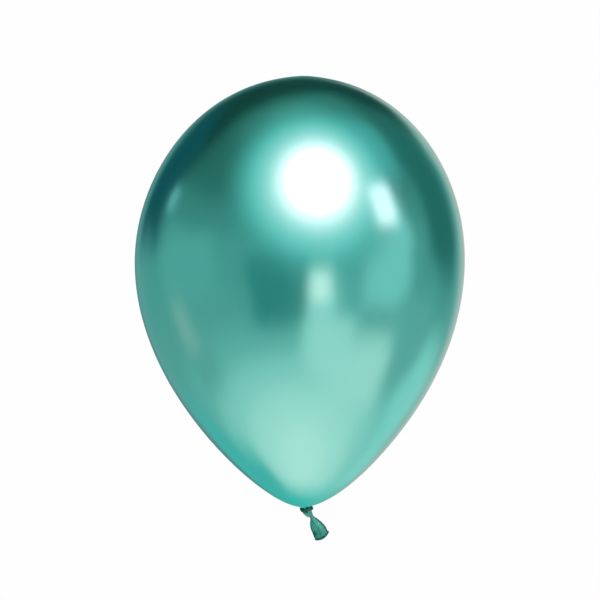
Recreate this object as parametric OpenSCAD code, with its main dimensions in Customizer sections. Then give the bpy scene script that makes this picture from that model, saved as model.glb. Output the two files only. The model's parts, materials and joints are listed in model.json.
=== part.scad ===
// Inflated latex party balloon, closed with an overhand knot in its own neck.
//
// The part stands in its own frame, in millimetres. The origin is where the envelope
// closes at the throat, +Z runs up to the crown, and +X is the side that the loose tail
// leans towards. Real latex flexes at the throat, the knot and the tail; here each of
// those places is a small ball in a socket, so that the two sides never run into each
// other as they turn.

/* [Envelope] */
// Diameter of the inflated envelope at its widest ring
envelope_d = 280; // [240:5:300]
// Height of the crown above the throat
envelope_h = 365.8; // [330:0.2:400]
// Height of the widest ring above the throat
equator_h = 208.6; // [190:0.2:225]
// Depth below the widest ring over which the side still runs close to straight down
side_drop = 89; // [70:1:110]
// Radius at which the lower side turns from steep to shallow
shoulder_r = 84; // [70:1:100]
// Height of that turn above the throat
shoulder_h = 55.5; // [40:0.5:70]
// Radius out to which the blunt base stays almost flat
base_r = 36.5; // [25:0.5:45]
// Height of the blunt base at that radius
base_h = 5.4; // [3:0.1:8]
// Thickness of the modelled skin
skin = 0.4; // [0.3:0.05:0.6]

/* [Throat and knot] */
// Radius of the gathered throat, where the envelope closes on it
throat_r = 3; // [2.8:0.1:3.5]
// Radius of the loop's centre line
loop_r = 3.8; // [3.7:0.05:4]
// Radius of the gathered neck where it runs round the loop
loop_strand_r = 1.75; // [1.6:0.05:1.8]
// Tip of the loop away from level, its left side down
loop_tip = 8; // [0:1:10]
// Radius of the rounded heart of the knot, inside the loop
core_r = 3.3; // [3:0.05:3.4]
// Radius of the strand that leaves the knot
tuck_r = 1.55; // [1.4:0.05:1.55]
// Lean of that strand from straight down, towards +X
tuck_lean = 30; // [27:1:31]

/* [Tail] */
// Length of the squeezed stem between the knot and the flare
stem_l = 4; // [3.9:0.1:4.5]
// Lean of the stem from straight down, towards +X
stem_lean = 33; // [30:1:36]
// Length of the flared sleeve, from the stem to the middle of the rolled lip
sleeve_l = 16.3; // [14:0.1:18]
// Lean of the sleeve from straight down, towards +X
sleeve_lean = 31; // [28:1:34]
// Wall of the slack, unstretched latex
slack_wall = 0.5; // [0.4:0.05:0.5]
// Width of the flattened mouth, over the lip
mouth_w = 14.7; // [13:0.1:16]
// Depth of the flattened mouth, over the lip
mouth_d = 9.5; // [8:0.1:11]
// Radius of the rolled lip
lip_r = 0.95; // [0.9:0.05:1.1]

/* [Flexing places] */
// Radius of the ball on which the whole knot rocks
rock_ball_r = 1.3; // [1.1:0.05:1.3]
// Radius of the balls at the two ends of the stem
stem_ball_r = 1; // [0.9:0.05:1]
// Free gap round every ball
ball_gap = 0.1; // [0.08:0.01:0.12]
// Radial running gap round the strand in its bore
bore_gap = 0.05; // [0.03:0.01:0.08]
// Thickness of the strands that carry the balls, as a radius
web_r = 0.7; // [0.6:0.05:0.8]

/* [Hidden] */
$fn = 48;

latex_chrome = [0.24, 0.62, 0.54];
latex_dense = [0.10, 0.40, 0.33];

PROFILE_STEPS = 40;   // points along each half of the envelope's outline
MOUTH_SIDES = 28;     // points round the sleeve and the lip
SLEEVE_RINGS = 9;     // rings along the sleeve
LIP_SIDES = 10;       // points round the rolled lip's own section

// Places along the chain, each in the part's frame.
function leaning(length, lean) = [length * sin(lean), 0, -length * cos(lean)];
rock_pivot = [2.3, 0, -1.9];
knot_centre = [2.9, 0, -3.1];
swing_reach = 4.6;    // from the knot's centre to the pivot under it
swing_pivot = knot_centre + leaning(swing_reach, tuck_lean);
flap_pivot = swing_pivot + leaning(stem_l, stem_lean);

socket_rim = 0.4;     // how far short of a ball's middle its socket's rim stops
tuck_start = 0.8;     // where the leaving strand begins, from the knot's centre
throat_top = 1;       // how far the throat's plug reaches up inside the envelope
throat_foot = 0.1;    // how far it reaches out below
throat_lean_x = 1.4;  // where the bent throat leaves the plug, towards +X

// A point on the Bezier curve through a list of control points, by de Casteljau's rule.
function on_bezier(p, t) =
    len(p) == 1 ? p[0]
    : on_bezier([for (i = [0 : len(p) - 2]) p[i] * (1 - t) + p[i + 1] * t], t);

// The envelope's outline from throat to crown: a Bezier curve up to the widest ring and
// a quarter ellipse above it. An inset moves it inwards by about that much all the way.
function envelope_outline(inset) =
    let (
        r = envelope_d / 2 - inset,
        rise = envelope_h - inset - equator_h,
        lower = [
            [throat_r, inset],
            [base_r, base_h + inset],
            [shoulder_r - inset * 0.6, shoulder_h + inset * 0.8],
            [r, equator_h - side_drop],
            [r, equator_h]
        ]
    )
    [
        for (i = [0 : PROFILE_STEPS - 1]) on_bezier(lower, i / PROFILE_STEPS),
        for (i = [0 : PROFILE_STEPS - 1])
            let (a = 90 * i / PROFILE_STEPS) [r * cos(a), equator_h + rise * sin(a)],
        [0, equator_h + rise]
    ];

function reversed(list) = [for (i = [len(list) - 1 : -1 : 0]) list[i]];

// A closed skin through rings of points; each ring has the same number of points and
// the last ring joins the first, so the rings go down the outside and up the inside.
module ring_skin(rings) {
    count = len(rings);
    sides = len(rings[0]);
    polyhedron(
        points = [for (ring = rings) each ring],
        faces = [
            for (i = [0 : count - 1], j = [0 : sides - 1])
                let (
                    below = (i + 1) % count,
                    next = (j + 1) % sides
                )
                [i * sides + j, i * sides + next, below * sides + next, below * sides + j]
        ]
    );
}

// An oval ring of points at one height, with half axes a across and b deep.
function oval(a, b, z) =
    [for (j = [0 : MOUTH_SIDES - 1])
        let (q = 360 * j / MOUTH_SIDES) [a * cos(q), b * sin(q), z]];

// Places children at a point, with their -Z axis leaning that far towards +X.
module hung(at, lean) {
    translate(at) rotate([0, -lean, 0]) children();
}

// A straight strand between two points.
module strand(from, to, r) {
    along = to - from;
    translate(from)
        rotate([0, acos(along[2] / norm(along)), atan2(along[1], along[0])])
            cylinder(r = r, h = norm(along));
}

module envelope() {
    color(latex_chrome)
        rotate_extrude($fn = 180)
            polygon(concat(envelope_outline(0), reversed(envelope_outline(skin))));
}

// The gathered skin that plugs the envelope, and the bent end on which the knot rocks.
module throat() {
    color(latex_dense) {
        translate([0, 0, -throat_foot])
            cylinder(r = throat_r, h = throat_top + throat_foot);
        strand([throat_lean_x, 0, 0.5], rock_pivot, web_r);
        translate(rock_pivot) sphere(rock_ball_r);
    }
}

module loop_ring() {
    translate(knot_centre)
        rotate([0, -loop_tip, 0])
            rotate_extrude()
                translate([loop_r, 0]) circle(loop_strand_r);
}

// The turn of the neck that wraps the knot.
module knot_loop() {
    color(latex_dense) loop_ring();
}

// The heart of the knot: it holds the throat's ball from below and the leaving strand.
module knot_core() {
    socket_r = rock_ball_r + ball_gap;
    rim_z = rock_pivot[2] - socket_rim;
    color(latex_dense)
        difference() {
            translate(knot_centre) sphere(core_r);
            loop_ring();
            translate(rock_pivot) sphere(socket_r);
            translate(knot_centre + [-core_r, -core_r, rim_z - knot_centre[2]])
                cube(2 * core_r);
            hung(knot_centre, tuck_lean)
                translate([0, 0, -swing_reach])
                    cylinder(r = tuck_r + bore_gap, h = swing_reach - tuck_start);
        }
}

// The strand that leaves the knot and can twist in it, with a socket in its lower end.
module knot_tuck() {
    socket_r = stem_ball_r + ball_gap;
    color(latex_dense)
        hung(knot_centre, tuck_lean)
            difference() {
                translate([0, 0, -swing_reach + socket_rim])
                    cylinder(r = tuck_r, h = swing_reach - socket_rim - tuck_start - ball_gap);
                translate([0, 0, -swing_reach]) sphere(socket_r);
            }
}

// The squeezed waist of the tail, with a ball at each end.
module tail_stem() {
    color(latex_dense) {
        translate(swing_pivot) sphere(stem_ball_r);
        translate(flap_pivot) sphere(stem_ball_r);
        strand(swing_pivot, flap_pivot, web_r);
    }
}

// How far the sleeve has opened out, from 0 at the stem to 1 at the mouth.
function opened(t) = t * (2 - t);

module tail_sleeve() {
    top_r = stem_ball_r + ball_gap + slack_wall;
    top_z = -0.3;   // clear of the stem's swing
    flat = lip_r * cos(180 / LIP_SIDES);
    end_z = -sleeve_l + flat;
    end_a = mouth_w / 2 - lip_r + slack_wall / 2;
    end_b = mouth_d / 2 - lip_r + slack_wall / 2;
    function section(t, inset) =
        oval(
            top_r + (end_a - top_r) * opened(t) - inset,
            top_r + (end_b - top_r) * opened(t) - inset,
            top_z + (end_z - top_z) * t
        );
    color(latex_dense)
        hung(flap_pivot, sleeve_lean)
            ring_skin([
                for (i = [0 : SLEEVE_RINGS]) section(i / SLEEVE_RINGS, 0),
                for (i = [SLEEVE_RINGS : -1 : 0]) section(i / SLEEVE_RINGS, slack_wall)
            ]);
}

// The bead rolled round the mouth: its section has a flat side for the sleeve's edge.
module rolled_lip() {
    mid_a = mouth_w / 2 - lip_r;
    mid_b = mouth_d / 2 - lip_r;
    color(latex_dense)
        hung(flap_pivot, sleeve_lean)
            ring_skin([
                for (i = [0 : LIP_SIDES - 1])
                    let (
                        q = 90 + 180 / LIP_SIDES - 360 * i / LIP_SIDES,
                        out = lip_r * cos(q)
                    )
                    oval(mid_a + out, mid_b + out, -sleeve_l + lip_r * sin(q))
            ]);
}

envelope();
throat();
knot_loop();
knot_core();
knot_tuck();
tail_stem();
tail_sleeve();
rolled_lip();
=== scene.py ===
import json
import math

import bpy
import numpy as np
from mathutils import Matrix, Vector, noise


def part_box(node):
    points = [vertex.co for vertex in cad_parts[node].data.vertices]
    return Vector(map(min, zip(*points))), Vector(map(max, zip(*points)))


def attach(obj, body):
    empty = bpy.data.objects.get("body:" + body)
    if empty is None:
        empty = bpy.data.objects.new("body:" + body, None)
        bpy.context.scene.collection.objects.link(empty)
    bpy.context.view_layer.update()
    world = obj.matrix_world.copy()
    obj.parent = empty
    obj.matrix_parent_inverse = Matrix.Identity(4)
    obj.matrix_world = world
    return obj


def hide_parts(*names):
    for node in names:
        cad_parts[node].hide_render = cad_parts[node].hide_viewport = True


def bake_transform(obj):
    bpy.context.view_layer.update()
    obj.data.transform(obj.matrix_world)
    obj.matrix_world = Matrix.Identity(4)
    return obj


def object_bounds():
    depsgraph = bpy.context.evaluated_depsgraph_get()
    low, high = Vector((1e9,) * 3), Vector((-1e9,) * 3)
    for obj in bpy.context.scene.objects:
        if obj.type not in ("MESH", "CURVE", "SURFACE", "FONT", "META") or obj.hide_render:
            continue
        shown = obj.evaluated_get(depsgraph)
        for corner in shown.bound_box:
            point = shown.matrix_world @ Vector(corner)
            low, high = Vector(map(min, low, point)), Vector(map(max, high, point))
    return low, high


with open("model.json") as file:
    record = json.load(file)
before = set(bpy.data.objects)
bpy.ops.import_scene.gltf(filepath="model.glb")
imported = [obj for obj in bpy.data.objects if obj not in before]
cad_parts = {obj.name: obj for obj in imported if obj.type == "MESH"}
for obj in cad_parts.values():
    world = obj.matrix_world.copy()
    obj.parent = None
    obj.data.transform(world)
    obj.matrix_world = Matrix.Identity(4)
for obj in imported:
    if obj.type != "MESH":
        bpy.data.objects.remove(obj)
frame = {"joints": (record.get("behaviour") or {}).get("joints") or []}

MM = 0.001
CAD_LOW, CAD_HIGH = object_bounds()
CAD_MIDDLE = (CAD_LOW + CAD_HIGH) / 2.0

JOINTS = {joint["name"]: joint for joint in frame["joints"]}
KNOT = np.array(JOINTS["tail_twist"]["pos_m"])         # the knot's centre
SWING = np.array(JOINTS["tail_swing"]["pos_m"])        # the crease under the knot
FLAP = np.array(JOINTS["tail_flap"]["pos_m"])          # the crease above the flare
ACROSS = np.array(JOINTS["tail_flap"]["axis"])         # across the flat tail, to the right
DEEP = np.array([0.0, 1.0, 0.0])                       # through the flat tail, to the back
SLEEVE_DOWN = np.cross(DEEP, ACROSS)                   # down the flare, towards the mouth


# ---------------------------------------------------------------- small tools

def smooth(edge0, edge1, x):
    """0 below edge0, 1 above edge1 and an S-shaped rise between; edge0 may be the larger."""
    t = np.clip((np.asarray(x, float) - edge0) / (edge1 - edge0), 0.0, 1.0)
    return t * t * (3.0 - 2.0 * t)


def bump(x, centre, width):
    """1 at the centre, falling away over the width to either side."""
    return np.exp(-((x - centre) / width) ** 2)


def unit(vectors):
    """One vector, or a table of them, made 1 long."""
    return vectors / np.linalg.norm(vectors, axis=-1, keepdims=True)


def around(count):
    """Angles evenly spaced round a ring."""
    return np.arange(count) * 2 * math.pi / count


def pinches(angles, turn, waves):
    """Folds round a strand, sharp in their troughs. Each wave has its share of the depth,
    half its count round the strand, how far it winds with turn, and its phase."""
    return sum(share * np.abs(np.sin(half_count * angles + winding * turn + phase))
               for share, half_count, winding, phase in waves)


def bezier(points, t):
    """A point on the Bezier curve through its list of control points."""
    points = [np.array(p, float) for p in points]
    while len(points) > 1:
        points = [a * (1.0 - t) + b * t for a, b in zip(points[:-1], points[1:])]
    return points[0]


def spline(points, t):
    """A point, or a number, at t from 0 to 1 on the Catmull-Rom curve through them all."""
    points = [np.array(p, float) for p in points]
    points = [2 * points[0] - points[1], *points, 2 * points[-1] - points[-2]]
    spans = len(points) - 3
    i = min(int(t * spans), spans - 1)
    u = t * spans - i
    a, b, c, d = points[i : i + 4]
    return 0.5 * (2 * b + (c - a) * u + (2 * a - 5 * b + 4 * c - d) * u**2
                  + (3 * b - a - 3 * c + d) * u**3)


def lay_skin(name, rings, slack, loop=False):
    """A mesh through rings of points, closed with a fan at each end, or into a loop.
    slack holds one number a ring, or one a point: 0 is taut film and 1 is loose latex; it also
    carries painted shade."""
    rings = [np.asarray(ring, float) for ring in rings]
    count, sides = len(rings), len(rings[0])
    verts = np.vstack(rings)
    slack = np.asarray(slack, float)
    if slack.ndim == 1:
        slack = np.repeat(slack[:, None], sides, axis=1)
    slack = slack.reshape(-1)
    faces = []
    for i in range(count if loop else count - 1):
        below = (i + 1) % count
        for j in range(sides):
            k = (j + 1) % sides
            faces.append((i * sides + j, i * sides + k, below * sides + k, below * sides + j))
    walls = len(faces)
    if not loop:
        for ring, flip in ((0, False), (count - 1, True)):
            centre = len(verts)
            verts = np.vstack([verts, rings[ring].mean(axis=0)])
            slack = np.append(slack, slack[ring * sides])
            for j in range(sides):
                pair = (ring * sides + j, ring * sides + (j + 1) % sides)
                faces.append((*pair, centre) if flip else (*pair[::-1], centre))
    mesh = bpy.data.meshes.new(name)
    mesh.from_pydata(verts.tolist(), [], faces)
    # The end fans are hidden or tiny, and stay flat so that the sides shade evenly.
    mesh.polygons.foreach_set("use_smooth", [k < walls for k in range(len(mesh.polygons))])
    looseness_and_shade = mesh.attributes.new("slack", "FLOAT", "POINT")
    looseness_and_shade.data.foreach_set("value", slack.astype(np.float32))
    mesh.validate()
    mesh.update()
    piece = bpy.data.objects.new(name, mesh)
    bpy.context.scene.collection.objects.link(piece)
    return piece


def ring_frames(path):
    """For each point of a path, two directions square to it, carried along without twist."""
    ahead = unit(np.gradient(np.asarray(path), axis=0))
    side = unit(np.cross(ahead[0], [0.0, 0.0, 1.0]))
    frames = []
    for direction_here in ahead:
        side = unit(side - direction_here * (side @ direction_here))
        frames.append((side, np.cross(direction_here, side)))
    return frames


def finish_piece(piece, material, slot, *nodes):
    """Gives a piece its material and hides the CAD nodes it stands for. slot is not used."""
    piece.data.materials.append(material)
    # The film doesn't mirror the small dark pieces under it, so the throat stays bright.
    piece.visible_glossy = material is film
    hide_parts(*nodes)


# ---------------------------------------------------------------- materials

class Nodes:
    """A few short words for building a node tree."""

    def __init__(self, tree):
        self.tree = tree

    def add(self, kind, **settings):
        node = self.tree.nodes.new(kind)
        for name, value in settings.items():
            setattr(node, name, value)
        return node

    def join(self, output, socket):
        self.tree.links.new(output, socket)

    def feed(self, socket, value):
        """Links an output to the socket, or sets a plain number or colour on it."""
        if isinstance(value, bpy.types.NodeSocket):
            self.join(value, socket)
        else:
            socket.default_value = value

    def math(self, operation, a, b=0.0, clamp=False):
        node = self.add("ShaderNodeMath", operation=operation, use_clamp=clamp)
        self.feed(node.inputs[0], a)
        self.feed(node.inputs[1], b)
        return node.outputs[0]

    def sway(self, value, amount):
        """Turns 0..1 into -amount..amount."""
        output = self.math("MULTIPLY_ADD", value, 2.0 * amount)
        output.node.inputs[2].default_value = -amount
        return output

    def span(self, value, low, high, to_low=0.0, to_high=1.0, soft=True):
        """Maps low..high to to_low..to_high, clamped; soft gives it an S-shaped rise."""
        kind = "SMOOTHSTEP" if soft else "LINEAR"
        node = self.add("ShaderNodeMapRange", interpolation_type=kind)
        for socket, number in zip(node.inputs, (value, low, high, to_low, to_high)):
            self.feed(socket, number)
        return node.outputs[0]

    def mix(self, factor, a, b):
        node = self.add("ShaderNodeMix", data_type="RGBA")
        self.feed(node.inputs["Factor"], factor)
        self.feed(node.inputs[6], a)
        self.feed(node.inputs[7], b)
        return node.outputs[2]

    def dot(self, a, b):
        node = self.add("ShaderNodeVectorMath", operation="DOT_PRODUCT")
        self.feed(node.inputs[0], a)
        self.feed(node.inputs[1], b)
        return node.outputs["Value"]

    def noise(self, vector, scale, detail=2.0, roughness=0.5):
        node = self.add("ShaderNodeTexNoise")
        self.join(vector, node.inputs["Vector"])
        node.inputs["Scale"].default_value = scale
        node.inputs["Detail"].default_value = detail
        node.inputs["Roughness"].default_value = roughness
        return node.outputs["Fac"]

    def relief(self, height, strength, distance):
        node = self.add("ShaderNodeBump")
        self.join(height, node.inputs["Height"])
        self.feed(node.inputs["Strength"], strength)
        node.inputs["Distance"].default_value = distance
        return node


# How fine each pattern in the latex is, in noise cells a metre.
CLOUDS, STREAKS, PEEL, CREPE, FLAKES = 28.0, 90.0, 520.0, 900.0, 2600.0
STREAK_SHAPE = (1.0, 1.0, 0.12)        # streaks and crepe are drawn out up and down
CLOUD_DEPTH = 0.08                     # how much the clouds add to the slack, or take off
STREAK_DEPTH = 0.035                   # the same for the streaks and the roughness
FLAKE_GLINT = 0.16                     # how much of the brightest flakes is the bright colour
EDGE_TINT = (0.62, 0.9, 0.86, 1.0)     # what the metal turns to where it is seen edge-on
PEEL_HEIGHT = 0.03 * MM
CREPE_STRENGTH = 0.55


def new_material(name):
    material = bpy.data.materials.new(name)
    material.use_nodes = True
    nodes = Nodes(material.node_tree)
    shader = material.node_tree.nodes["Principled BSDF"]
    return material, nodes, shader


def latex(name, taut, loose, metallic, roughness, coat, edge_shade, wrinkle):
    """Metallic-pigmented latex. Its colour goes from taut to loose with the skin's slack, which
    also carries painted shade, broken up by clouds and flakes, and its roughness between the
    two given. rim is how far the colour is darkened towards the loose one where the skin is
    seen edge-on, as painted shade, and wrinkle is how deep the crepe of loose latex is."""
    material, nodes, shader = new_material(name)
    place = nodes.add("ShaderNodeTexCoord").outputs["Object"]
    slack = nodes.add("ShaderNodeAttribute", attribute_name="slack").outputs["Fac"]
    clouds = nodes.noise(place, CLOUDS, detail=3.0)
    flakes = nodes.noise(place, FLAKES, detail=1.0)
    stretch = nodes.add("ShaderNodeMapping")
    nodes.join(place, stretch.inputs["Vector"])
    stretch.inputs["Scale"].default_value = STREAK_SHAPE
    stretched = stretch.outputs["Vector"]
    streaks = nodes.noise(stretched, STREAKS, detail=3.0)

    looseness_and_shade = nodes.math("ADD", slack, nodes.sway(clouds, CLOUD_DEPTH), clamp=True)
    # Painted shade: the colour darkens towards the loose colour where the skin is seen edge-on.
    if edge_shade > 0.0:
        facing = nodes.add("ShaderNodeLayerWeight").outputs["Facing"]
        edge = nodes.span(facing, 0.2, 0.75, 0.0, edge_shade)
        looseness_and_shade = nodes.math("ADD", looseness_and_shade, edge, clamp=True)
    colour = nodes.mix(looseness_and_shade, taut, loose)
    glint = nodes.span(flakes, 0.35, 0.75, 0.0, FLAKE_GLINT, soft=False)
    bright = tuple(min(1.0, 1.35 * c + 0.03) for c in taut[:3]) + (1.0,)
    nodes.join(nodes.mix(glint, colour, bright), shader.inputs["Base Color"])

    low, high = roughness
    rough = nodes.span(slack, 0.0, 1.0, low, high, soft=False)
    rough = nodes.math("ADD", rough, nodes.sway(streaks, STREAK_DEPTH), clamp=True)
    nodes.join(rough, shader.inputs["Roughness"])

    shader.inputs["Metallic"].default_value = metallic
    shader.inputs["Specular Tint"].default_value = EDGE_TINT
    shader.inputs["Coat Weight"].default_value = coat
    shader.inputs["Coat Roughness"].default_value = 0.2
    shader.inputs["Coat IOR"].default_value = 1.6

    peel = nodes.relief(nodes.noise(place, PEEL, detail=2.0), 0.12, PEEL_HEIGHT)
    crepe = nodes.noise(stretched, CREPE, detail=4.0, roughness=0.6)
    crepe = nodes.relief(crepe, nodes.math("MULTIPLY", slack, CREPE_STRENGTH), wrinkle)
    nodes.join(peel.outputs["Normal"], crepe.inputs["Normal"])
    nodes.join(crepe.outputs["Normal"], shader.inputs["Normal"])
    return material


TEAL = (0.165, 0.62, 0.52, 1.0)          # taut film, seen straight on
TEAL_DENSE = (0.025, 0.57, 0.47, 1.0)    # thicker film at the throat and the crown
TEAL_PALE = (0.14, 0.52, 0.40, 1.0)      # the crests of gathered latex
TEAL_GATHERED_SHADE = (0.003, 0.06, 0.04, 1.0)    # painted shade: the near-black of the knot's folds, also mixed into the gathered tail
TEAL_LOOSE = (0.05, 0.34, 0.26, 1.0)     # the unstretched tail
TEAL_ROLLED_AND_SHADE = (0.005, 0.085, 0.06, 1.0)  # several layers together at the lip; also painted shade on the sleeve's folds, edges and insides

film = latex("latex_film", TEAL, TEAL_DENSE, metallic=1.0, roughness=(0.19, 0.5),
             coat=0.5, edge_shade=0.0, wrinkle=0.0)
gathered = latex("latex_gathered", TEAL_PALE, TEAL_GATHERED_SHADE, metallic=0.8, roughness=(0.42, 0.38),
                 coat=0.0, edge_shade=0.15, wrinkle=0.02 * MM)
loose = latex("latex_slack", TEAL_LOOSE, TEAL_ROLLED_AND_SHADE, metallic=0.5, roughness=(0.5, 0.4),
              coat=0.05, edge_shade=0.9, wrinkle=0.02 * MM)


# ---------------------------------------------------------------- envelope

EQUATOR_SHARE = 0.5703      # height of the widest ring, as a share of the crown's
THROAT_R = 3.0 * MM
# The gathered neck, as radius and height in mm: it goes down into the knot and has a small
# fillet above it.
NECK_PROFILE = ((2.1, -2.7), (2.3, -1.9), (2.5, -1.2), (2.9, -0.6), (4.1, 0.0))
# The side's control points above the throat, the CAD's own, as shares of the widest ring's
# radius and height.
SIDE_SHARES = ((0.261, 0.0259), (0.6, 0.266), (1.0, 0.5735), (1.0, 1.0))
SIDE_START = 0.012          # how far along its curve the side leaves the fillet
NECK_RINGS, SIDE_RINGS, CROWN_RINGS = 14, 95, 70
ENVELOPE_SIDES = 240
BOW = 3.0 * MM              # the whole balloon leans out this far to the left at mid-height
NECK_SHIFT = KNOT[0] - 0.9 * MM         # the neck's foot stands this far right, in the knot
BASE_SHARE, CROWN_SHARE = 0.3, 0.9      # below and above these heights: the base, the crown
PLEATS = ((9, 0.55, 0.4), (14, 0.35, 2.1), (23, 0.2, 4.4))  # count, share, phase
PLEAT_DEPTH, PLEAT_REACH = 0.42 * MM, 5.5 * MM
SWELL_DEPTH, SWELL_SCALE = 0.35 * MM, 11.0
SPOT_HEIGHT, SPOT_WIDTH = 1.0 * MM, 16.0 * MM


def envelope_outline():
    """Radius and height from the neck's hidden end up to the crown, and the crown's height."""
    low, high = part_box("envelope")
    radius, crown = (high[0] - low[0]) / 2.0, high[2]
    equator = crown * EQUATOR_SHARE
    neck = [(r * MM, z * MM) for r, z in NECK_PROFILE]
    side = [(THROAT_R, 0.0)] + [(r * radius, z * equator) for r, z in SIDE_SHARES]
    points = [spline(neck, t) for t in np.linspace(0.0, 1.0, NECK_RINGS)]
    # Close rings near the throat, where the pleats are, and wider ones up the side.
    spacing = np.linspace(0.0, 1.0, SIDE_RINGS + 1)[1:] ** 1.5
    points += [bezier(side, t) for t in SIDE_START + (1.0 - SIDE_START) * spacing]
    rise = crown - equator
    for a in np.linspace(0.0, math.pi / 2, CROWN_RINGS + 2)[1:-1]:
        points.append((radius * math.cos(a), equator + rise * math.sin(a)))
    points.append((0.15 * MM, crown))
    points = np.array(points)
    # The thick spot at the crown stands up a little.
    above = points[:, 1] > CROWN_SHARE * crown
    points[above, 1] += SPOT_HEIGHT * bump(points[above, 0], 0.0, SPOT_WIDTH)
    return points, crown


def envelope_skin():
    outline, crown = envelope_outline()
    angles = around(ENVELOPE_SIDES)
    # Pleats are sharp at their crests and round in their troughs.
    pleats = sum(share * (1.0 - 2.0 * np.abs(np.sin(0.5 * n * angles + phase)))
                 for n, share, phase in PLEATS)
    rings, slack = [], []
    for (r, z), (dr, dz) in zip(outline, unit(np.gradient(outline, axis=0))):
        outward = np.stack([np.cos(angles) * dz, np.sin(angles) * dz,
                            np.full_like(angles, -dr)], axis=1)
        ring = np.stack([np.cos(angles) * r, np.sin(angles) * r, np.full_like(angles, z)], axis=1)
        # Pleats run out from the neck and die away across the base.
        base = z < BASE_SHARE * crown
        depth = PLEAT_DEPTH * math.exp(-max(0.0, r - THROAT_R) / PLEAT_REACH) if base else 0.0
        # The taut film is never a perfect body of revolution.
        swell = np.array([noise.noise(Vector(point) * SWELL_SCALE) for point in ring])
        steady = smooth(6 * MM, 40 * MM, r)
        ring += outward * (pleats * depth + swell * SWELL_DEPTH * steady)[:, None]
        ring[:, 0] -= BOW * math.sin(math.pi * np.clip(z / crown, 0.0, 1.0)) ** 1.4
        ring[:, 0] += NECK_SHIFT * smooth(1.5 * MM, -2.4 * MM, z)
        rings.append(ring)
        dense = smooth(54 * MM, 18 * MM, r) if base else 0.0
        spot = 0.55 * smooth(13 * MM, 4 * MM, r) if z > CROWN_SHARE * crown else 0.0
        slack.append(max(float(dense), float(spot)))
    piece = lay_skin("envelope_skin", rings, slack)
    finish_piece(piece, film, "latex_film", "envelope", "throat")
    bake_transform(piece)


# ---------------------------------------------------------------- knot

WRAP_START, WRAP_SWEEP = -8.0, 372.0     # degrees round from the front
# Distance out from the knot's centre and height above it, in mm, evenly along the turn.
WRAP_RADII = (2.6, 3.75, 3.9, 3.8, 4.0, 3.7, 1.7)
WRAP_HEIGHTS = (2.1, 2.2, 2.0, 1.8, 1.7, 0.6, -1.4)
WRAP_STEPS, WRAP_SIDES = 150, 72
WRAP_TWIST = 3.2                         # radians that the strand's folds wind along it
WRAP_FOLDS = ((0.5, 2.5, 1.0, 0.0), (0.3, 4.0, -1.7, 0.8), (0.2, 6.5, 2.3, 2.0))
HEART_HALF = (3.3, 3.5, 2.4)             # half sizes in mm: across, deep, high
HEART_RAISED = 0.9                       # mm above the knot's centre
HEART_LEVELS, HEART_SIDES = 48, 96
HEART_FOLDS = ((0.45, 3.5, 1.1, 0.0), (0.35, 6.0, -1.6, 0.7))


def wrap_path(t):
    """The turn of the knot. It starts at the front, goes right and round the back, comes
    forward on the left and dives in under the tail."""
    a = math.radians(WRAP_START + WRAP_SWEEP * t)
    radius = spline(WRAP_RADII, t)
    height = spline(WRAP_HEIGHTS, t)
    return KNOT + np.array([math.sin(a) * radius, -math.cos(a) * radius, height]) * MM


def knot_wrap():
    """A gathered strand along the turn of the knot, thin where its two ends dive in."""
    path = [wrap_path(t) for t in np.linspace(0.0, 1.0, WRAP_STEPS)]
    angles = around(WRAP_SIDES)
    rings, slack = [], []
    for i, (point, (side, up)) in enumerate(zip(path, ring_frames(path))):
        t = i / (WRAP_STEPS - 1)
        ends = float(smooth(0.0, 0.1, t) * smooth(1.0, 0.9, t))
        uneven = 1.0 + 0.08 * math.sin(9.0 * t + 0.6)
        wide = (1.05 + 0.6 * ends) * uneven * MM
        thick = wide * 1.05
        folds = pinches(angles, WRAP_TWIST * t, WRAP_FOLDS)
        reach = 1.0 + 0.3 * (folds - 0.55)
        across = np.cos(angles) * wide * reach
        above = np.sin(angles) * thick * reach
        rings.append(point + across[:, None] * side + above[:, None] * up)
        # Painted shade: the strand is dark all over, darkest in the troughs of its folds.
        slack.append(1.08 - 0.25 * folds)
    piece = lay_skin("knot_wrap", rings, slack)
    finish_piece(piece, gathered, "latex_gathered", "knot_loop")
    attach(piece, "knot")


def knot_heart():
    """The squeezed middle of the knot: a lump creased from the neck to the tail."""
    wide, deep, high = HEART_HALF
    angles = around(HEART_SIDES)
    rings, slack = [], []
    # From the bottom to the top, without the two poles.
    for i in range(HEART_LEVELS - 1, 0, -1):
        v = math.pi * i / HEART_LEVELS
        creases = pinches(angles, math.cos(v), HEART_FOLDS)
        reach = 0.86 + 0.26 * creases
        ring = np.stack([np.cos(angles) * math.sin(v) * wide * reach,
                         np.sin(angles) * math.sin(v) * deep * reach,
                         high * math.cos(v) * (0.9 + 0.12 * creases)], axis=1)
        rings.append(KNOT + (ring + [0.0, 0.0, HEART_RAISED]) * MM)
        # Painted shade: darker in the troughs of the creases than on their crests.
        slack.append(1.0 - 0.4 * creases)
    piece = lay_skin("knot_heart", rings, slack)
    finish_piece(piece, gathered, "latex_gathered", "knot_core")
    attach(piece, "knot")


# ---------------------------------------------------------------- tail

# A place on the tail is s, its distance in metres down the tail's line past the flap crease.
# SWING_S and KNOT_S are above that crease and so negative.
SWING_S = -np.linalg.norm(FLAP - SWING)
KNOT_S = SWING_S - np.linalg.norm(SWING - KNOT)
LIP_LOW, LIP_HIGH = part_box("rolled_lip")
LIP_CENTRE = (np.array(LIP_LOW) + np.array(LIP_HIGH)) / 2.0
MOUTH_S = np.linalg.norm(LIP_CENTRE - FLAP)
TAIL_SIDES = 96
WALL = 0.5 * MM
TUCK_TOP, STEM_TOP = KNOT_S + 0.4 * MM, KNOT_S + 3.3 * MM
SLEEVE_TOP = -1.1 * MM

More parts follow.
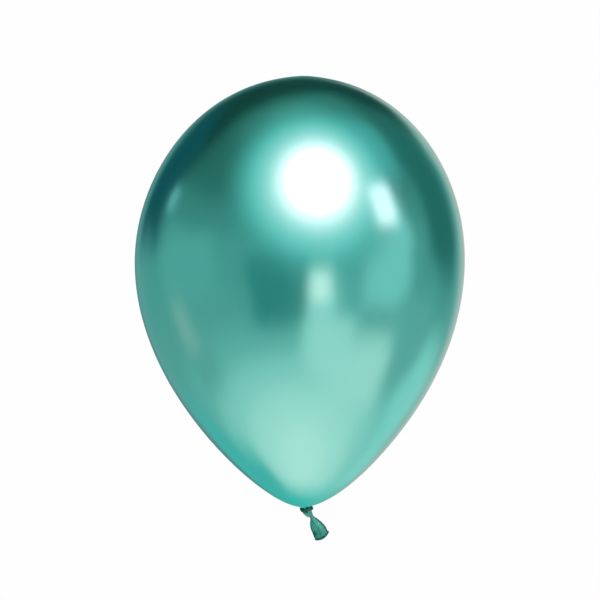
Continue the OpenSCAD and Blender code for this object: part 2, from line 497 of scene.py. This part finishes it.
# Down the tail, in mm: place, half width, half depth, shift to the right.
TAIL_SHAPE = (
    (-8.6, 2.4, 2.0, 0.6),
    (-7.0, 2.6, 1.9, 1.0),
    (-5.0, 2.2, 1.7, 1.1),
    (-3.5, 1.9, 1.5, 1.0),
    (-2.0, 1.7, 1.4, 0.9),
    (-0.8, 1.9, 1.4, 0.9),
    (0.0, 2.4, 1.6, 0.8),
    (1.1, 3.3, 1.9, 0.6),
    (3.5, 4.3, 2.5, 0.4),
    (6.3, 5.4, 3.0, 0.4),
    (11.0, 6.3, 3.5, 0.5),
    (14.5, 6.5, 3.8, 0.0),
    (16.3, 6.2, 3.8, 0.0),
)
TAIL_TABLE = np.array(TAIL_SHAPE) * MM
TAIL_FOLDS = ((0.5, 3.0, 1.0, 0.0), (0.3, 5.5, -1.0, 0.9), (0.2, 8.0, 1.6, 2.2))
FOLD_WINDING = 1.5 / (8 * MM)  # radians that the folds wind for each metre down the tail
FOLD_DEPTH = 0.17
RIPPLE_DEPTH = 0.16 * MM
TAIL_DIP = 1.7 * MM            # how far the flat middle of the mouth hangs below its corners


def tail_line(s):
    """The tail's middle line: straight down the flare, and with two bends above it."""
    if s >= 0:
        return FLAP + SLEEVE_DOWN * s
    if s >= SWING_S:
        return FLAP + (SWING - FLAP) * (s / SWING_S)
    return SWING + (KNOT - SWING) * ((s - SWING_S) / (KNOT_S - SWING_S))


def soft_tail_line(s):
    """The same line with its corners rounded off."""
    spread = np.linspace(-1.4, 1.4, 9) * MM
    return np.mean([tail_line(s + d) for d in spread], axis=0)


def tail_size(s):
    """The tail's half width, half depth and shift across, with its changes rounded off."""
    spread = s + np.linspace(-1.0, 1.0, 7) * MM
    return [np.interp(spread, TAIL_TABLE[:, 0], column).mean() for column in TAIL_TABLE.T[1:]]


def tail_ring(s, inset=0.0):
    """One ring of the tail's skin; inset moves it inwards, for the inside of the wall."""
    angles = around(TAIL_SIDES)
    wide, deep, shift = tail_size(s)
    gather = float(smooth(11 * MM, -1 * MM, s))
    folds = pinches(angles, FOLD_WINDING * s, TAIL_FOLDS)
    reach = 1.0 + FOLD_DEPTH * gather * (folds - 0.6)
    # A pinched fin stands off the left of the squeezed part and ends below the crease, with
    # a groove on each side of it.
    fin = float(smooth(-2.2 * MM, -4.0 * MM, s))
    from_left = np.abs(angles - math.pi)
    reach += fin * (0.85 * bump(from_left, 0.0, 0.4) - 0.16 * bump(from_left, 0.9, 0.28))
    # The slack front wall dishes in a little between the corners of the flat mouth.
    flat = float(smooth(2 * MM, 13 * MM, s))
    dish = 1.0 - 0.2 * flat * bump(np.cos(angles), -0.25, 0.35) * (np.sin(angles) < 0)
    across = np.cos(angles) * (wide * reach - inset) + shift
    through = np.sin(angles) * (deep * reach - inset) * dish
    ripple = RIPPLE_DEPTH * flat * np.sin(3.0 * angles + 260.0 * s + 0.5)
    hang = TAIL_DIP * float(smooth(0.0, MOUTH_S, s)) * (1.0 - np.cos(angles) ** 2)
    down = unit(soft_tail_line(s + 0.5 * MM) - soft_tail_line(s - 0.5 * MM))
    sideways = np.cross(down, DEEP)
    return (soft_tail_line(s) + across[:, None] * sideways
            + (through + ripple)[:, None] * DEEP + hang[:, None] * down)


def gathered_slack(s):
    """How loose the gathered part of the tail looks: its left side is stretched thin, and painted
    shade darkens it just under the knot.
    """
    shade_under_knot = 0.2 * float(smooth(-5.5 * MM, -7.5 * MM, s))
    return 0.32 + shade_under_knot - 0.32 * bump(around(TAIL_SIDES), math.pi, 0.9)


def sleeve_slack(s):
    """Painted shade on the sleeve: dark along its two side folds and in a patch low on the left,
    where no hollow is modelled; the sleeve is also a little darker towards the mouth."""
    side = np.cos(around(TAIL_SIDES))
    folds = 0.75 * smooth(0.7, 0.98, np.abs(side))
    dent_shade = 1.1 * bump(side, -0.78, 0.24) * bump(s, 11.0 * MM, 1.7 * MM)
    along = 0.15 - 0.1 * float(smooth(0.0, 6 * MM, s)) + 0.3 * float(smooth(6.5 * MM, 12 * MM, s))
    return np.maximum(folds, dent_shade) + along


def gathered_tail(name, top, bottom, count, node):
    """A length of the tail's gathered part, for one CAD node."""
    places = np.linspace(top, bottom, count)
    piece = lay_skin(name, [tail_ring(s) for s in places], [gathered_slack(s) for s in places])
    finish_piece(piece, gathered, "latex_gathered", node)
    return piece


def tuck_skin():
    piece = gathered_tail("tuck_skin", TUCK_TOP, STEM_TOP, 16, "knot_tuck")
    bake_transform(piece)


def stem_skin():
    piece = gathered_tail("stem_skin", STEM_TOP, SLEEVE_TOP, 34, "tail_stem")
    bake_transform(piece)


def sleeve_skin():
    """The flare: down its outside to the mouth, then up its inside to a closed end."""
    outside = np.linspace(SLEEVE_TOP, MOUTH_S, 84)
    inside = np.linspace(MOUTH_S, 1.2 * MM, 60)
    rings = [tail_ring(s) for s in outside]
    rings += [tail_ring(s, WALL) for s in inside]
    # Painted shade: the inside of the flare is darkened towards the rolled colour.
    slack = [sleeve_slack(s) for s in outside] + [np.full(TAIL_SIDES, 0.9)] * len(inside)
    piece = lay_skin("sleeve_skin", rings, slack)
    finish_piece(piece, loose, "latex_slack", "tail_sleeve")
    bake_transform(piece)


LIP_R = 0.95 * MM
LIP_SIDES = 28


def lip_bead():
    """The lip: the latex rolled up on itself round the mouth, a little uneven."""
    line = tail_ring(MOUTH_S, WALL / 2.0)
    ahead = unit(np.roll(line, -1, axis=0) - np.roll(line, 1, axis=0))
    turn = around(LIP_SIDES)
    # The rolled edge shows as a shallow groove round the inner side of the bead.
    groove = 1.0 - 0.12 * bump(np.cos(turn - 2.4), 1.0, 0.03)
    rings = []
    for point, onward, a in zip(line, ahead, around(len(line))):
        out = unit(np.cross(SLEEVE_DOWN, onward))
        up = unit(np.cross(out, onward))
        size = LIP_R * (1.0 + 0.06 * math.sin(3 * a + 0.4) + 0.04 * math.sin(7 * a + 1.9))
        section = np.cos(turn)[:, None] * out + np.sin(turn)[:, None] * up
        rings.append(point + size * groove[:, None] * section)
    piece = lay_skin("lip_bead", rings, [1.0] * len(rings), loop=True)
    finish_piece(piece, loose, "latex_slack", "rolled_lip")
    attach(piece, "tail")


# ---------------------------------------------------------------- studio

# Directions are in degrees from the balloon: azimuth 0 is towards the viewer and 90 to the
# right, and elevation is up from level.
KEY_TOWARDS = (14, 45)
SECOND_TOWARDS = (65, 26)
# What stands round the balloon and shows in it: azimuth, elevation, half width, half
# height and softness in degrees, then the colour.
SURROUNDINGS = (
    ("back_dark", -162, 42, 40, 20, 24, (0.02, 0.07, 0.065)),
    ("left_dark", -135, 22, 18, 18, 12, (0.015, 0.11, 0.145)),
    ("left_wall", -84, -2, 26, 14, 14, (0.36, 0.55, 0.56)),
    ("left_low_dark", -160, -44, 20, 20, 14, (0.20, 0.64, 0.66)),
    ("left_low", -94, -36, 13, 9, 10, (0.40, 0.53, 0.54)),
    ("left_low_spot", -97, -23, 8, 8, 8, (0.78, 0.62, 0.63)),
    ("viewer_dark", -16, -14, 19, 19, 12, (0.09, 0.32, 0.33)),
    ("right_upper", 80, 52, 20, 18, 18, (0.24, 0.58, 0.62)),
    ("right_dark", 120, 23, 18, 24, 14, (0.06, 0.20, 0.20)),
    ("right_front", 36, -8, 9, 18, 8, (0.54, 0.71, 0.73)),
    ("right_post", 37, -12, 6, 12, 7, (0.32, 0.54, 0.56)),
    ("right_wall", 64, -2, 18, 20, 12, (0.72, 0.83, 0.87)),
    ("right_low", 95, -26, 17, 15, 12, (0.42, 0.56, 0.58)),
    ("right_floor", 140, -32, 20, 16, 16, (0.84, 0.92, 0.94)),
    ("front_floor", 48, -47, 28, 14, 16, (1.45, 1.04, 1.07)),
    ("bright_gap", 15, -10, 9, 34, 6, (1.02, 0.96, 1.0)),
    ("gap_low", 25, -38, 15, 12, 12, (1.35, 1.03, 1.06)),
    ("backdrop_right", 160, -1, 14, 26, 10, (0.74, 0.65, 0.65)),
    ("backdrop_left", -170, -7, 11, 19, 10, (0.14, 0.30, 0.31)),
)
# Smaller lamps that show over everything else, in the same way.
LAMPS = (
    ("second_spill", 73, 19, 5, 6, 8, (0.7, 0.9, 1.0)),
    ("second_light", *SECOND_TOWARDS, 8, 10, 8, (4.2, 1.9, 2.2)),
    ("low_light", 14, -13, 7, 7, 9, (2.9, 1.5, 1.55)),
    ("left_glint", -112, 22, 4, 4, 4, (0.6, 0.75, 0.85)),
)
# The room's own shade by height: the sine of the elevation, then the colour.
ROOM_SHADE = (
    (-1.00, (1.9, 1.18, 1.20)),
    (-0.93, (1.5, 1.08, 1.10)),
    (-0.79, (0.95, 0.88, 0.90)),
    (-0.61, (0.46, 0.61, 0.62)),
    (-0.39, (0.34, 0.50, 0.51)),
    (-0.13, (0.28, 0.47, 0.48)),
    (0.13, (0.26, 0.46, 0.47)),
    (0.38, (0.18, 0.35, 0.35)),
    (0.61, (0.09, 0.21, 0.20)),
    (0.79, (0.085, 0.20, 0.185)),
    (0.92, (0.13, 0.28, 0.265)),
    (1.00, (0.24, 0.41, 0.39)),
)
# The key light's reflection: degrees from its centre, then the colour; between the two
# angles of KEY_REACH it gives way to the room.
KEY_REACH = (40, 64)
KEY_GLOW = (
    (0, (8.0, 7.0, 7.5)),
    (17, (7.5, 4.0, 4.5)),
    (21, (5.0, 1.8, 2.1)),
    (25, (3.0, 1.4, 1.6)),
    (29, (1.7, 1.2, 1.36)),
    (32, (1.1, 1.04, 1.14)),
    (36, (0.75, 0.93, 1.0)),
    (41, (0.46, 0.79, 0.84)),
    (47, (0.28, 0.61, 0.64)),
    (56, (0.18, 0.44, 0.45)),
)
DRIFT_SCALE, DRIFT_DEPTH = 2.4, 0.15
BACKGROUND_WHITE = (0.99, 0.99, 0.99, 1.0)
ROOM_GREY = (0.75, 0.75, 0.75, 1.0)
LIGHT_DISTANCE = 1.9

FLOOR_DROP, FLOOR_REACH = 0.75, 3.3    # below the balloon, and out to the floor's edge
FLOOR_RINGS, FLOOR_SIDES = 24, 96
FLOOR_FADE = (0.5, 2.2)                # from here to here the floor turns to the backdrop's white
FLOOR_SHADES = ((0.80, 0.81, 0.81, 1.0), (0.86, 0.87, 0.87, 1.0))

LENS, SENSOR = 112.7, 36.0             # millimetres
CAMERA_AWAY = 1.6                      # in front of the balloon's axis
CAMERA_LEFT, CAMERA_UP = 2.8 * MM, 7.7 * MM    # from the middle of the CAD's box


def direction(azimuth, elevation):
    """The way from the balloon towards an azimuth and an elevation, 1 long."""
    a, e = math.radians(azimuth), math.radians(elevation)
    return Vector((math.sin(a) * math.cos(e), -math.cos(a) * math.cos(e), math.sin(e)))


def soft_card(nodes, toward, azimuth, elevation, half_w, half_h, softness):
    """How much of a soft-edged card shows in a direction, from 0 to 1."""
    centre = direction(azimuth, elevation)
    right = Vector((math.cos(math.radians(azimuth)), math.sin(math.radians(azimuth)), 0.0))
    up = centre.cross(right)
    near_centre = nodes.dot(toward, tuple(centre))
    facing = nodes.math("MAXIMUM", near_centre, 0.02)
    cover = nodes.span(near_centre, 0.02, 0.1)
    for axis, half in ((right, half_w), (up, half_h)):
        slope = nodes.math("DIVIDE", nodes.dot(toward, tuple(axis)), facing)
        angle = nodes.math("ARCTANGENT", nodes.math("ABSOLUTE", slope))
        inner = math.radians(half - softness / 2)
        outer = math.radians(half + softness / 2)
        cover = nodes.math("MULTIPLY", nodes.span(angle, inner, outer, 1.0, 0.0), cover)
    return cover


def lay_cards(nodes, colour, toward, cards):
    """Lays each card in turn over the colour so far."""
    for _, azimuth, elevation, half_w, half_h, softness, card in cards:
        cover = soft_card(nodes, toward, azimuth, elevation, half_w, half_h, softness)
        colour = nodes.mix(cover, colour, (*card, 1.0))
    return colour


def colour_ramp(nodes, position, stops, interpolation="LINEAR"):
    """A ramp through (position, colour) stops; its colours may pass 1."""
    node = nodes.add("ShaderNodeValToRGB")
    ramp = node.color_ramp
    ramp.interpolation = interpolation
    while len(ramp.elements) < len(stops):
        ramp.elements.new(0.5)
    for element, (place, colour) in zip(ramp.elements, stops):
        element.position = place
        element.color = (*colour, 1.0)
    nodes.join(position, node.inputs["Fac"])
    return node.outputs["Color"]


def build_world():
    world = bpy.data.worlds.new("studio")
    bpy.context.scene.world = world
    world.use_nodes = True
    # Light from the world comes by bounced rays alone, so that the mixes by ray kind below hold.
    world.cycles.sampling_method = "NONE"
    world.node_tree.nodes.clear()
    nodes = Nodes(world.node_tree)
    toward = nodes.add("ShaderNodeTexCoord").outputs["Generated"]
    height = nodes.add("ShaderNodeSeparateXYZ")
    nodes.join(toward, height.inputs[0])
    sine = nodes.span(height.outputs["Z"], -1.0, 1.0, soft=False)
    shades = [((place + 1.0) / 2.0, shade) for place, shade in ROOM_SHADE]
    colour = colour_ramp(nodes, sine, shades, "EASE")
    # A slow drift keeps the cards' edges from looking ruled.
    drift = nodes.add("ShaderNodeTexNoise")
    drift.inputs["Scale"].default_value = DRIFT_SCALE
    nodes.join(toward, drift.inputs["Vector"])
    centred = nodes.add("ShaderNodeVectorMath", operation="MULTIPLY_ADD")
    nodes.join(drift.outputs["Color"], centred.inputs[0])
    centred.inputs[1].default_value = (2.0 * DRIFT_DEPTH,) * 3
    centred.inputs[2].default_value = (-DRIFT_DEPTH,) * 3
    wandering = nodes.add("ShaderNodeVectorMath", operation="ADD")
    nodes.join(toward, wandering.inputs[0])
    nodes.join(centred.outputs["Vector"], wandering.inputs[1])
    colour = lay_cards(nodes, colour, wandering.outputs["Vector"], SURROUNDINGS)

    off_key = nodes.math("ARCCOSINE", nodes.dot(toward, tuple(direction(*KEY_TOWARDS))))
    glow_stops = [(angle / 180.0, shade) for angle, shade in KEY_GLOW]
    glow = colour_ramp(nodes, nodes.math("DIVIDE", off_key, math.pi), glow_stops)
    near, far = (math.radians(angle) for angle in KEY_REACH)
    colour = nodes.mix(nodes.span(off_key, near, far, 1.0, 0.0), colour, glow)
    colour = lay_cards(nodes, colour, toward, LAMPS)

    # Rays from the skin see the room, matt surfaces a plain grey, the camera a white sweep.
    rays = nodes.add("ShaderNodeLightPath")
    colour = nodes.mix(rays.outputs["Is Diffuse Ray"], colour, ROOM_GREY)
    colour = nodes.mix(rays.outputs["Is Camera Ray"], colour, BACKGROUND_WHITE)
    room = nodes.add("ShaderNodeBackground")
    nodes.join(colour, room.inputs["Color"])
    output = nodes.add("ShaderNodeOutputWorld")
    nodes.join(room.outputs[0], output.inputs["Surface"])


def softbox(name, toward, width, brightness):
    """A round studio light that faces the balloon; brightness is its face's own, where 1 is
    white. The skin mirrors the world's picture of it instead, whose edge is softer."""
    light = bpy.data.lights.new(name, "AREA")
    light.shape = "DISK"
    light.size = width
    light.energy = brightness * math.pi * math.pi * width ** 2 / 4
    lamp = bpy.data.objects.new(name, light)
    bpy.context.scene.collection.objects.link(lamp)
    back = direction(*toward)
    lamp.location = CAD_MIDDLE + back * LIGHT_DISTANCE
    lamp.rotation_mode = "QUATERNION"
    lamp.rotation_quaternion = back.to_track_quat("Z", "Y")
    lamp.visible_camera = False
    lamp.visible_glossy = False


def build_floor():
    """A pale round floor well below the balloon, white at its far edge like the backdrop."""
    verts, faces = [(0.0, 0.0, 0.0)], []
    for i in range(1, FLOOR_RINGS + 1):
        r = FLOOR_REACH * i / FLOOR_RINGS
        verts += [(r * math.cos(a), r * math.sin(a), 0.0) for a in around(FLOOR_SIDES)]
    for j in range(FLOOR_SIDES):
        k = (j + 1) % FLOOR_SIDES
        faces.append((0, 1 + j, 1 + k))
        for i in range(FLOOR_RINGS - 1):
            a, b = 1 + i * FLOOR_SIDES + j, 1 + i * FLOOR_SIDES + k
            faces.append((a, a + FLOOR_SIDES, b + FLOOR_SIDES, b))
    mesh = bpy.data.meshes.new("studio_floor")
    mesh.from_pydata(verts, [], faces)
    floor = bpy.data.objects.new("studio_floor", mesh)
    bpy.context.scene.collection.objects.link(floor)
    floor.location = (0.0, 0.0, CAD_LOW.z - FLOOR_DROP)
    floor.visible_glossy = False
    material, nodes, shader = new_material("studio_floor")
    place = nodes.add("ShaderNodeTexCoord").outputs["Object"]
    grain = nodes.noise(place, 60.0, detail=4.0)
    nodes.join(nodes.mix(grain, *FLOOR_SHADES), shader.inputs["Base Color"])
    shader.inputs["Roughness"].default_value = 0.7
    shader.inputs["Specular IOR Level"].default_value = 0.0
    length = nodes.add("ShaderNodeVectorMath", operation="LENGTH")
    nodes.join(place, length.inputs[0])
    white = nodes.add("ShaderNodeEmission")
    white.inputs["Color"].default_value = BACKGROUND_WHITE
    blend = nodes.add("ShaderNodeMixShader")
    nodes.join(nodes.span(length.outputs["Value"], *FLOOR_FADE), blend.inputs[0])
    nodes.join(shader.outputs[0], blend.inputs[1])
    nodes.join(white.outputs[0], blend.inputs[2])
    nodes.join(blend.outputs[0], material.node_tree.nodes["Material Output"].inputs["Surface"])
    mesh.materials.append(material)


def build_camera():
    """A long lens, close to level with the middle of the balloon and square to it."""
    data = bpy.data.cameras.new("camera")
    data.sensor_width = SENSOR
    data.lens = LENS
    camera = bpy.data.objects.new("camera", data)
    bpy.context.scene.collection.objects.link(camera)
    camera.location = (CAD_MIDDLE.x - CAMERA_LEFT, -CAMERA_AWAY, CAD_MIDDLE.z + CAMERA_UP)
    camera.rotation_euler = (math.pi / 2, 0.0, 0.0)
    bpy.context.scene.camera = camera


bpy.context.scene.view_settings.view_transform = "Standard"
build_camera()
build_world()
build_floor()
softbox("key_light", KEY_TOWARDS, width=1.2, brightness=9.0)
softbox("second_light", SECOND_TOWARDS, width=0.45, brightness=2.0)

envelope_skin()
knot_wrap()
knot_heart()
tuck_skin()
stem_skin()
sleeve_skin()
lip_bead()
